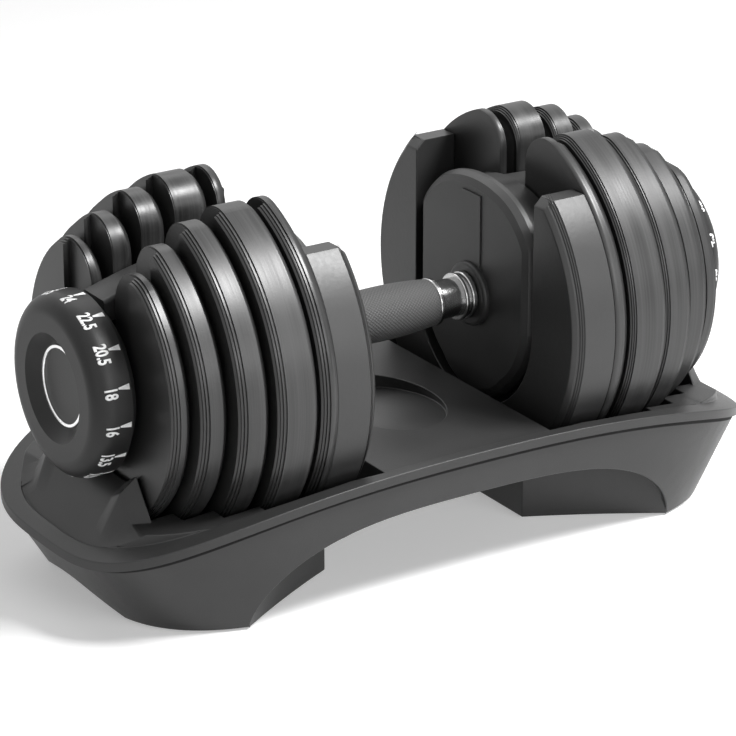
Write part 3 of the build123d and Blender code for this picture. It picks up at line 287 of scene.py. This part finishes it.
def moulded(name, tone, rough, specular=0.5, grain=GRAIN, grain_scale=GRAIN_SCALE):
    """A plain moulding: a base tone, a faint mottling and a fine grain."""
    finish = Finish(name, Specular_IOR_Level=specular)
    cloud = finish.noise(CLOUD_SCALE, 4)
    fine = finish.noise(grain_scale, 2)
    finish.feed(
        "Base Color",
        finish.tones(grey(tone * (1 - MOTTLE)), grey(tone * (1 + MOTTLE)), cloud.spread()),
    )
    finish.feed("Roughness", varied(rough, (cloud, 0.12), (fine, 0.1)).clipped())
    finish.bump(fine, grain)


moulded("hub_plastic", tone=0.04, rough=0.42, specular=0.4)
moulded("dial_plastic", tone=0.018, rough=0.42, specular=0.28)
moulded("cap_plastic", tone=0.03, rough=0.4, specular=0.3)
moulded("inner_plastic", tone=0.012, rough=0.5, specular=0.2)
moulded("pad_rubber", tone=0.02, rough=0.75, grain=0.2 * mm, grain_scale=700)
print("plain mouldings:", list(Finish.made))

# %% [markdown]
# ## The painted shadow under the tray's lip
#
# The tray is two mouldings, and the lip of the upper one laps over the lower. Under the lip, where
# the two meet, a narrow painted shadow runs all the way round: the wall just below the overhang is
# darkened in its colour, for the shade that the lip would cast. The seam is nearly level along the
# middle and drops towards the ends, so the shadow's height is worked out from the place along the
# tray. The tray's plan, a squarish oval with a slight waist, keeps it to the outside wall.

# %% Tray plastic
SEAM_MIDDLE = 51 * mm       # the seam under the lip, below the handle's axis
SEAM_DROP = 34 * mm         # how much lower it is at the ends
TRAY_SQUARENESS = 3.4       # the power of the oval: 2 is an ellipse
TRAY_WAIST = 0.06           # how much narrower the tray is in its middle
LIP_OVERHANG = 2.5 * mm
# the painted shadow under the lip: how far below the seam it reaches, its soft edge and its tone
LIP_SHADOW_DEPTH = 2.9 * mm
LIP_SHADOW_FADE = 0.5 * mm
LIP_SHADOW_TONE = 0.001
OUTSIDE = (0.92, 0.96)      # from the inside to the outside wall, as shares of the oval


def tray_moulding(name, tone, rough, specular):
    """The tray's plastic, with a painted shadow that runs right round it under the lip."""
    finish = Finish(name, Specular_IOR_Level=specular)
    x, y, z = finish.split(finish.place())
    along = x.maths("ABSOLUTE") / (cad_box[1][0] - LIP_OVERHANG)
    waist = 1 - (1 - along * along).maths("POWER", 2) * TRAY_WAIST
    across = (y.maths("ABSOLUTE") / waist) / (cad_box[1][1] - LIP_OVERHANG)
    reach = along.maths("POWER", TRAY_SQUARENESS) + across.maths("POWER", TRAY_SQUARENESS)
    below = AXIS - SEAM_MIDDLE - along.maths("POWER", 3) * SEAM_DROP - z
    # Painted shadow: a dark band on the wall just under the lip, where its overhang would shade it.
    lip_shadow = (1 - below.band(LIP_SHADOW_DEPTH - LIP_SHADOW_FADE, LIP_SHADOW_DEPTH)) * below.band(-LIP_SHADOW_FADE, 0)
    lip_shadow = lip_shadow * reach.band(*OUTSIDE)
    cloud = finish.noise(CLOUD_SCALE, 4)
    fine = finish.noise(GRAIN_SCALE, 2)
    share = (0.85 + cloud.spread() * 0.15) * (1 - lip_shadow)
    finish.feed("Base Color", finish.tones(grey(LIP_SHADOW_TONE), grey(tone * 1.08), share))
    roughness = varied(rough, (cloud, 0.12), (fine, 0.1)) + lip_shadow * 0.5
    finish.feed("Roughness", roughness.clipped())
    finish.bump(fine, GRAIN)


tray_moulding("tray_plastic", tone=0.027, rough=0.42, specular=0.42)
print("lip_shadow", round((AXIS - SEAM_MIDDLE) / mm, 1), "mm above the floor in the middle")

# %% [markdown]
# ## The plates' rims
#
# A plate's rim is satin and slightly crowned, and it carries the fine rings of a turned mould. The
# rings are a noise that changes fast along the handle and slowly round it. The crown comes from how
# deep a point lies between its plate's two faces. It shapes the bump, and it also paints a highlight:
# the colour is lighter along the middle of each rim and darker towards its edges. The faces
# themselves take the darker tone, a painted shade for the gaps between the plates, so the rims stand
# out against them.

# %% Plate plastic
PLATE_SPANS = [span_x("right_plate_1_belly")]
PLATE_SPANS += [span_x(f"right_plate_{number}_cover") for number in range(1, 6)]
EDGE_ROUND = 3.2 * mm
# how far from a face the painted shade of the faces reaches
FACE_SHADE_DEPTH = 0.6 * mm
FINE_RINGS = (900, 9, 9)
BROAD_RINGS = (170, 5, 5)


def turned(name, tone, rough, specular):
    """A crowned satin rim with turned rings, a painted highlight and painted shade on its faces."""
    finish = Finish(name, Specular_IOR_Level=specular)
    away = finish.split(finish.place())[0].maths("ABSOLUTE")
    inside = 0
    for inner, outer in PLATE_SPANS:
        inside = (away - inner).maths("MINIMUM", outer - away).maths("MAXIMUM", 0.0) + inside
    edge = (1 - (inside / EDGE_ROUND)).clipped()
    crown_and_highlight = 1 - edge * edge
    cloud = finish.noise(30, 4)
    rings = finish.noise(1, 2, vector=finish.stretched(FINE_RINGS, (0, 0, AXIS)))
    broad = finish.noise(1, 2, vector=finish.stretched(BROAD_RINGS, (0, 0, AXIS)))
    fine = finish.noise(GRAIN_SCALE, 2)
    streaks = (rings.spread() * 0.5 + broad.spread() * 0.5).clipped()
    # Painted light: lighter on each rim's crown, darker towards its edges, and dark on the faces as
    # shade.
    share = streaks * (0.35 + crown_and_highlight * 0.65) * (inside / FACE_SHADE_DEPTH).clipped()
    finish.feed("Base Color", finish.tones(grey(tone * 0.6), grey(tone * 1.5), share))
    roughness = varied(rough, (rings, 0.16), (broad, 0.2), (cloud, 0.08))
    finish.feed("Roughness", roughness.clipped())
    finish.bump(crown_and_highlight + rings * 0.03 + fine * 0.015, EDGE_ROUND * 0.4)


turned("plate_plastic", tone=0.027, rough=0.38, specular=0.5)
print("plates begin at", [round(span[0] / mm, 1) for span in PLATE_SPANS], "mm from the middle")

# %% [markdown]
# ## Grip rubber
#
# The grip is a soft rubber sleeve with a fine cross-hatched knurl. Two waves, one along the handle
# and one round it, multiply into rows of tiny raised points.

# %% Grip rubber
GRIP_RIBS = 44
GRIP_ROW = 2.2 * mm
GRIP_POINT = 0.3 * mm


def grip_rubber_finish():
    """A dull rubber with rows of raised points."""
    finish = Finish("grip_rubber", Specular_IOR_Level=0.35)
    x, y, z = finish.split(finish.stretched((1, 1, 1), (0, 0, AXIS)))
    around = y.maths("ARCTAN2", z)
    rows = (x * (2 * pi / GRIP_ROW)).maths("SINE")
    ribs = (around * GRIP_RIBS).maths("SINE")
    points = (rows * ribs) * 0.5 + 0.5
    cloud = finish.noise(40, 3)
    finish.feed("Base Color", finish.tones(grey(0.05), grey(0.09), points * 0.6 + cloud * 0.4))
    finish.feed("Roughness", (0.62 - points * 0.14 + (cloud - 0.5) * 0.1).clipped())
    finish.bump(points, GRIP_POINT)


grip_rubber_finish()
print("grip:", GRIP_RIBS, "ribs round it, in rows", round(GRIP_ROW / mm, 1), "mm apart")

# %% [markdown]
# ## Metals
#
# The tube is chromed and turned, so its fine marks run round it. The inner hardware is zinc-plated
# and brushed, and the cast iron under the black paint has a soft orange-peel.

# %% Metals
TURNING_MARKS = (2200, 40, 40)
MARK_DEPTH = 0.02 * mm
PEEL_SCALE = 420
PEEL_DEPTH = 0.05 * mm


def turned_metal(name, tone, rough):
    """Metal with fine marks that run round the handle's axis."""
    finish = Finish(name, Metallic=1.0)
    marks = finish.noise(1, 2, vector=finish.stretched(TURNING_MARKS, (0, 0, AXIS)))
    cloud = finish.noise(60, 3)
    finish.feed("Base Color", finish.tones(grey(tone * 0.9), grey(tone), marks * 0.7 + cloud * 0.3))
    finish.feed("Roughness", varied(rough, (marks, 0.1), (cloud, 0.06)).clipped(0.02))
    finish.bump(marks, MARK_DEPTH)


def painted_iron(name, tone, rough):
    """Cast iron under black paint, with a soft orange-peel."""
    finish = Finish(name, Specular_IOR_Level=0.5)
    peel = finish.noise(PEEL_SCALE, 3)
    cloud = finish.noise(22, 4)
    finish.feed("Base Color", finish.tones(grey(tone * 0.85), grey(tone * 1.15), cloud))
    finish.feed("Roughness", varied(rough, (cloud, 0.14), (peel, 0.08)).clipped())
    finish.bump(peel, PEEL_DEPTH)


turned_metal("tube_chrome", tone=0.5, rough=0.22)
turned_metal("bright_trim", tone=0.9, rough=0.16)
turned_metal("steel", tone=0.45, rough=0.32)
painted_iron("belly_iron", tone=0.027, rough=0.42)
painted_iron("core_iron", tone=0.06, rough=0.6)
print("finishes so far:", list(Finish.made))

# %% [markdown]
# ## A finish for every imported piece
#
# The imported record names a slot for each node, such as tube_chrome, and the finishes above have the
# slots' names. They are taken from Finish.made and not from Blender's list, because the packed
# model brings plain materials with those same names.

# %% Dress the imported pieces
for row in frame["record"]["subparts"]:
    piece = nodes[row["node"]]
    piece.data.materials.clear()
    piece.data.materials.append(Finish.made[row["material_slot"]])

# %% [markdown]
# ## Softened edges
#
# No moulding or casting has a knife edge: the tool that makes it is rounded, and the light that an
# edge catches is what makes it read as solid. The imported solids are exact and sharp, so the tray's
# two mouldings and the iron bellies of the innermost plates are copied, their loose triangles are
# joined, and every sharp edge is rounded off. The normals are then weighted by area, so that each
# broad face keeps its own shade and the narrow rounding blends into it.

# %% Helpers for making and shaping pieces
JOIN_DISTANCE = 0.01 * mm
SMOOTH_ANGLE = radians(32)
ROUNDING_STEPS = 3


def alone(piece):
    """Selects one object and nothing else."""
    bpy.ops.object.select_all(action="DESELECT")
    piece.select_set(True)
    bpy.context.view_layer.objects.active = piece


def joined(pieces, name):
    """Joins pieces into one named object."""
    alone(pieces[0])
    for piece in pieces:
        piece.select_set(True)
    bpy.ops.object.join()
    whole = bpy.context.object
    whole.name = whole.data.name = name
    return whole


def settle(piece):
    """Puts an object's place and size into its mesh."""
    alone(piece)
    bpy.ops.object.transform_apply(location=True, rotation=True, scale=True)
    return piece


def softened(node, width, limit=35):
    """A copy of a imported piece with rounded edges, shown in its place."""
    piece = bpy.data.objects.new(f"{node}_soft", nodes[node].data.copy())
    bpy.context.collection.objects.link(piece)
    alone(piece)
    bpy.ops.object.mode_set(mode="EDIT")
    bpy.ops.mesh.select_all(action="SELECT")
    bpy.ops.mesh.remove_doubles(threshold=JOIN_DISTANCE)
    bpy.ops.object.mode_set(mode="OBJECT")
    rounding = piece.modifiers.new("rounding", "BEVEL")
    rounding.width = width
    rounding.segments = ROUNDING_STEPS
    rounding.limit_method = "ANGLE"
    rounding.angle_limit = radians(limit)
    rounding.use_clamp_overlap = False
    bpy.ops.object.modifier_apply(modifier="rounding")
    bpy.ops.object.shade_smooth_by_angle(angle=SMOOTH_ANGLE)
    evened = piece.modifiers.new("evened", "WEIGHTED_NORMAL")
    evened.keep_sharp = True
    bpy.ops.object.modifier_apply(modifier="evened")
    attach(piece, body_of[node])
    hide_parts(node)


# %% Round the edges that show
body_of = {}
for body, members in frame["record"]["behaviour"]["bodies"].items():
    for member in members:
        body_of[member] = body
softened("tray_top", 0.6 * mm, limit=45)
softened("tray_skirt", 0.7 * mm)
for side in SIDES:
    softened(f"{side}_plate_1_belly", 0.7 * mm)

# %% [markdown]
# ## Studio
#
# The main light hangs high at the right front. From the camera it mirrors in the rims about half
# way between their top and their front, which draws the satin streak across every plate. A wide,
# low light in front opens the tray's side, and two weak ones, behind and at the left, keep the far
# edges from sinking. The sky is white only where it is seen straight on or in a gloss. The pale
# floor is lifted in the same way, so that it stays near white and keeps the object's shadow.

# %% Floor
FLOOR_SIZE = 14
FLOOR_LIFT = 0.35
bpy.ops.object.select_all(action="DESELECT")
bpy.ops.mesh.primitive_plane_add(size=FLOOR_SIZE, location=(0, 0, 0))
floor = bpy.context.object
floor.name = "floor"
floor_finish = Finish("floor_paper", Roughness=0.9, Specular_IOR_Level=0.1)
paper = floor_finish.noise(9, 3)
floor_finish.feed("Base Color", floor_finish.tones(grey(0.80), grey(0.84), paper))
tree = floor_finish.tree
ray = floor_finish.node("LightPath").outputs
seen = (Signal(tree, ray["Is Camera Ray"]) + Signal(tree, ray["Is Glossy Ray"])).clipped()
lift = floor_finish.node("Emission", Color=(1, 1, 1, 1), Strength=seen * FLOOR_LIFT)
both = floor_finish.node("AddShader")
tree.links.new(floor_finish.surface.outputs[0], both.inputs[0])
tree.links.new(lift.outputs[0], both.inputs[1])
tree.links.new(both.outputs[0], tree.nodes["Material Output"].inputs["Surface"])
floor.data.materials.append(floor_finish.material)
print("floor", FLOOR_SIZE, "m wide")

# %% Sky
SKY_LEVEL = 0.14
world = bpy.data.worlds.new("sky")
bpy.context.scene.world = world
world.use_nodes = True
sky = world.node_tree
ray = sky.nodes.new("ShaderNodeLightPath").outputs
straight = (
    Signal(sky, ray["Is Camera Ray"])
    + Signal(sky, ray["Is Glossy Ray"])
    + Signal(sky, ray["Is Transmission Ray"])
).clipped()
backdrop = sky.nodes["Background"]
sky.links.new((straight * (1 - SKY_LEVEL) + SKY_LEVEL).socket, backdrop.inputs["Strength"])
backdrop.inputs["Color"].default_value = (1, 1, 1, 1)
print("sky lights the object at", SKY_LEVEL)

# %% Lamps
LAMP_AIM = Vector((0, 0, 0.1))
LAMPS = {                   # place, width and depth, and watts
    "key_light": ((0.65, -0.65, 1.4), (0.5, 0.35), 36),
    "front_light": ((0.4, -1.9, 0.7), (1.4, 0.6), 13),
    "back_light": ((0.1, 0.9, 1.2), (1.4, 0.5), 4),
    "left_light": ((-1.8, -0.9, 0.5), (0.8, 0.8), 1.2),
}
for name, (place, size, watts) in LAMPS.items():
    bpy.ops.object.light_add(type="AREA", location=place)
    lamp = bpy.context.object
    lamp.name = name
    lamp.data.shape = "RECTANGLE"
    lamp.data.size, lamp.data.size_y = size
    lamp.data.energy = watts
    lamp.rotation_euler = (LAMP_AIM - Vector(place)).to_track_quat("-Z", "Y").to_euler()
bpy.context.scene.view_settings.view_transform = "Standard"
print("lamps:", list(LAMPS))

# %% [markdown]
# ## Numbers on the dials
#
# Each dial is printed with fifteen settings and a wedge-shaped tick beside each. The print follows
# a drum with a rounded front edge, so flat text would cut through it. The whole strip is therefore
# laid out flat, as a printer would, cut into narrow cells, and then wrapped: distance along the
# strip becomes an angle, and distance across it becomes a place along the drum's side.

# %% Lay the strip out flat
SETTINGS = ["24", "22.5", "20.5", "18", "16", "13.5", "11.5", "10"]
SETTINGS += ["9", "8", "6.5", "5.5", "4.5", "3.5", "2.5"]
STEP = 2 * pi / len(SETTINGS)
PRINT_TURN = radians(2.5)
FIGURE_HEIGHT = 7.0 * mm
FIGURE_NARROWING = 0.68
FIGURE_SHIFT = 2.0 * mm
FIGURE_WEIGHT = 0.3 * mm
CAPITAL_SHARE = 0.73        # how much of a text's size its figures fill
TICK_START = 1 * mm
TICK_LENGTH = 6.5 * mm
TICK_WIDTH = 3.2 * mm
TICK_TIP = 0.3
FIGURE_FOOT = TICK_START + TICK_LENGTH + 0.4 * mm + FIGURE_HEIGHT
CELL = 1.2 * mm
SPARE_CELLS = 4             # cut beyond each end of the strip


def flat_figures(words, along):
    """The figures of one setting, flat on the strip."""
    bpy.ops.object.select_all(action="DESELECT")
    bpy.ops.object.text_add(location=(0, 0, 0))
    text = bpy.context.object
    text.data.body = words
    text.data.size = FIGURE_HEIGHT / CAPITAL_SHARE
    text.data.align_x = "CENTER"
    text.data.offset = FIGURE_WEIGHT
    text.data.resolution_u = 3
    bpy.ops.object.convert(target="MESH")
    text = bpy.context.object
    text.scale = (FIGURE_NARROWING, 1, 1)
    text.location = (along + FIGURE_SHIFT, -FIGURE_FOOT, 0)
    return settle(text)


def flat_tick(along):
    """A wedge, wide at the drum's back edge and narrow towards the figures."""
    bpy.ops.object.select_all(action="DESELECT")
    middle_y = -TICK_START - TICK_LENGTH / 2
    bpy.ops.mesh.primitive_plane_add(size=1, location=(along, middle_y, 0))
    tick = bpy.context.object
    tick.scale = (TICK_WIDTH, TICK_LENGTH, 1)
    settle(tick)
    bpy.ops.object.mode_set(mode="EDIT")
    bpy.ops.mesh.select_all(action="DESELECT")
    bpy.ops.object.mode_set(mode="OBJECT")
    for vertex in tick.data.vertices:
        vertex.select = vertex.co.y < middle_y
    bpy.ops.object.mode_set(mode="EDIT")
    bpy.ops.transform.resize(
        value=(TICK_TIP, 1, 1), center_override=(along, middle_y - TICK_LENGTH / 2, 0)
    )
    bpy.ops.object.mode_set(mode="OBJECT")
    return tick


strip_pieces = []
for number, words in enumerate(SETTINGS):
    along = (number * STEP + PRINT_TURN) * DIAL_RADIUS
    strip_pieces += [flat_figures(words, along), flat_tick(along)]
strip = joined(strip_pieces, "left_dial_print")
print("strip:", len(strip.data.polygons), "faces,", round(strip.dimensions.x, 3), "m long")

# %% Cut the strip into cells, give it thickness and wrap it
INK_THICKNESS = 0.12 * mm
INK_LIFT = 0.03 * mm
ROUND_MARGIN = 0.01 * mm
bpy.ops.object.mode_set(mode="EDIT")
cells_along = int(strip.dimensions.x / CELL)
cells_across = int(FIGURE_FOOT / CELL)
cuts = [(i * CELL, 0) for i in range(-SPARE_CELLS, cells_along + SPARE_CELLS)]
cuts += [(0, -i * CELL) for i in range(1, cells_across + 1)]
for u, v in cuts:
    bpy.ops.mesh.select_all(action="SELECT")
    bpy.ops.mesh.bisect(plane_co=(u, v, 0), plane_no=(1, 0, 0) if v == 0 else (0, 1, 0))
bpy.ops.object.mode_set(mode="OBJECT")
thick = strip.modifiers.new("ink", "SOLIDIFY")
thick.thickness = INK_THICKNESS
thick.offset = 1
bpy.ops.object.modifier_apply(modifier="ink")

dial_mesh = nodes["right_dial"].data
ROUND_START = max(
    v.co.x
    for v in dial_mesh.vertices
    if hypot(v.co.y, v.co.z - AXIS) > DIAL_RADIUS - ROUND_MARGIN
)
DIAL_ROUND = DIAL_FACE - ROUND_START


def drum_radius(x):
    """The radius of the drum's printed side at a distance along the handle."""
    past = max(x - ROUND_START, 0)
    return DIAL_RADIUS - DIAL_ROUND + sqrt(DIAL_ROUND**2 - past**2)


for vertex in strip.data.vertices:
    u, v, lift = vertex.co
    x = DIAL_BACK - v
    radius = drum_radius(x) + INK_LIFT + lift
    angle = u / DIAL_RADIUS
    vertex.co = (-x, -radius * sin(angle), AXIS + radius * cos(angle))
right_strip = strip.copy()
right_strip.data = strip.data.copy()
right_strip.name = right_strip.data.name = "right_dial_print"
bpy.context.collection.objects.link(right_strip)
right_strip.rotation_euler = (0, 0, pi)
settle(right_strip)
print("rounding of the drum:", round(DIAL_ROUND / mm, 2), "mm")

# %% Print ink
ink = Finish("print_ink", Specular_IOR_Level=0.3)
wear = ink.noise(900, 3)
ink.feed("Base Color", ink.tones(grey(0.72), grey(0.9), wear.band(0.2, 0.6)))
ink.feed("Roughness", varied(0.55, (wear, 0.2)).clipped())
for side, piece in (("left", strip), ("right", right_strip)):
    piece.data.materials.clear()
    piece.data.materials.append(ink.material)
    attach(piece, f"{side}_dial_group")
print("ink on", strip.name, "and", right_strip.name)

# %% [markdown]
# ## The end of the scene

# %% The end of the scene
import json
